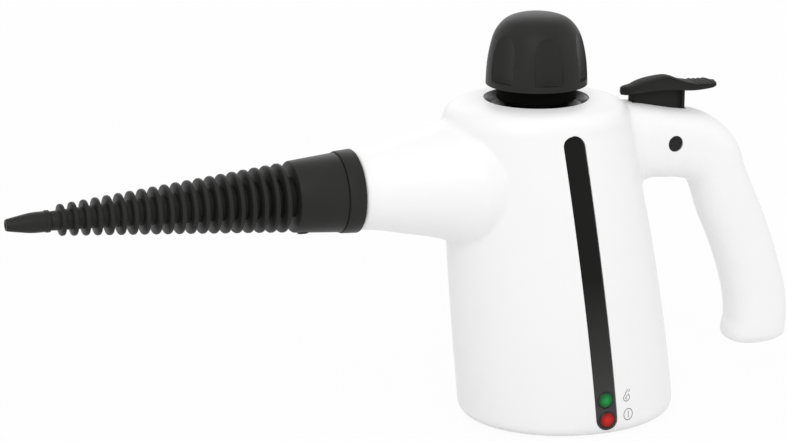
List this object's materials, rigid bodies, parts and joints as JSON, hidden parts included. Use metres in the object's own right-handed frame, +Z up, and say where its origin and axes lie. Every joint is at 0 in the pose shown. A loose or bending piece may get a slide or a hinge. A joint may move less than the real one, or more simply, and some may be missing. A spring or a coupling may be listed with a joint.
{
  "type": "handheld steam cleaner",
  "caption": "Handheld steam cleaner: upright boiler housing with hooked grip, filler cap, trigger and long ribbed nozzle on a spout.",
  "frame": {"origin": "middle of the bounding box's underside, on the surface that the feet stand on", "axes": "+Z up, -X towards the nozzle, +X towards the handle, -Y the side with the stripe and the lamps"},
  "size_m": [0.4766, 0.1156, 0.2391],
  "materials": {
    "white_shell": "satin moulded shell",
    "black_plastic": "fine moulded texture",
    "stripe_black": "smooth glossy inlay",
    "black_rubber": "matt",
    "red_silicone": "matt silicone",
    "boiler_aluminium": "as cast",
    "turned_brass": "turned",
    "steel": "zinc plated",
    "hose_ivory": "extruded, heat resistant",
    "green_lens": "tinted clear lens",
    "red_lens": "tinted clear lens",
    "circuit_board": "glass epoxy board",
    "nylon_ivory": "moulded nylon"
  },
  "bodies": {
    "root": {"housing_left": "white_shell", "housing_right": "white_shell", "base_plate": "black_plastic", "foot_1": "black_rubber", "foot_2": "black_rubber", "foot_3": "black_rubber", "foot_4": "black_rubber", "base_screw_1": "steel", "base_screw_2": "steel", "base_screw_3": "steel", "base_screw_4": "steel", "shell_screw_front_low": "steel", "shell_screw_rear_low": "steel", "shell_screw_rear_top": "steel", "shell_screw_grip_top": "steel", "shell_screw_grip_low": "steel", "boiler_lower": "boiler_aluminium", "boiler_gasket": "red_silicone", "boiler_upper": "boiler_aluminium", "boiler_screw_1": "steel", "boiler_screw_2": "steel", "boiler_screw_3": "steel", "boiler_screw_4": "steel", "heater_element": "steel", "thermostat": "steel", "thermal_fuse": "nylon_ivory", "boiler_pipe": "turned_brass", "steam_valve": "turned_brass", "valve_spring": "steel", "outlet_pipe": "hose_ivory", "steam_outlet": "turned_brass", "filler_neck": "black_plastic", "filler_dish": "black_plastic", "spout_ring": "black_plastic", "trigger_pin": "steel", "trigger_spring": "steel", "side_stripe": "stripe_black", "lamp_green": "green_lens", "lamp_red": "red_lens", "lamp_board": "circuit_board", "cord_inlet": "black_rubber", "terminal_block": "nylon_ivory", "mains_wire_1": "black_rubber", "mains_wire_2": "hose_ivory"},
    "seal_ring": {"cap_seal": "black_rubber"},
    "cap": {"cap_knob": "black_plastic", "cap_plug": "black_plastic", "cap_screw_1": "steel", "cap_screw_2": "steel", "relief_spring": "steel"},
    "relief": {"relief_valve": "turned_brass"},
    "trigger_lever": {"trigger": "black_plastic"},
    "plunger": {"valve_plunger": "steel"},
    "lock_bolt": {"lock_button": "black_plastic"},
    "nozzle_carrier": {"nozzle_seal": "red_silicone"},
    "nozzle": {"nozzle_body": "black_plastic", "nozzle_jet": "black_plastic"},
    "nozzle_latch": {"nozzle_button": "black_plastic"}
  },
  "joints": [
    {"name": "cap_lift", "type": "slide", "parent": "root", "child": "seal_ring", "axis": [0, 0, 1], "range_m": [0, 0.0091]},
    {"name": "cap_turn", "type": "hinge", "parent": "seal_ring", "child": "cap", "pos_m": [0.07295, 0, 0.19], "axis": [0, 0, 1], "range_deg": [0, 810]},
    {"name": "relief_lift", "type": "slide", "parent": "cap", "child": "relief", "axis": [0, 0, 1], "range_m": [0, 0.0015], "stiffness_N_per_m": 2000, "springref_m": -0.004, "deforming": ["relief_spring"]},
    {"name": "trigger_press", "type": "hinge", "parent": "root", "child": "trigger_lever", "pos_m": [0.13635, 0, 0.1735], "axis": [0, 1, 0], "range_deg": [0, 6], "stiffness_Nm_per_rad": 0.3, "springref_deg": -5.73, "deforming": ["trigger_spring"]},
    {"name": "plunger_push", "type": "slide", "parent": "root", "child": "plunger", "axis": [-1, 0, 0], "range_m": [0, 0.0021], "deforming": ["valve_spring"]},
    {"name": "lock_slide", "type": "slide", "parent": "root", "child": "lock_bolt", "axis": [0, -1, 0], "range_m": [0, 0.004]},
    {"name": "nozzle_pull", "type": "slide", "parent": "root", "child": "nozzle_carrier", "axis": [-1, 0, 0], "range_m": [0, 0.025]},
    {"name": "nozzle_turn", "type": "hinge", "parent": "nozzle_carrier", "child": "nozzle", "pos_m": [-0.04705, 0, 0.1454], "axis": [-1, 0, 0], "range_deg": [0, 40]},
    {"name": "nozzle_button_press", "type": "slide", "parent": "nozzle", "child": "nozzle_latch", "axis": [0, 0.225, 0.9744], "range_m": [0, 0.0015], "stiffness_N_per_m": 300, "springref_m": -0.002}
  ],
  "couplings": [
    {"joint": "cap_lift", "follows": "cap_turn", "m_per_rad": 0.00063662},
    {"joint": "plunger_push", "follows": "trigger_press", "m_per_rad": 0.019}
  ]
}
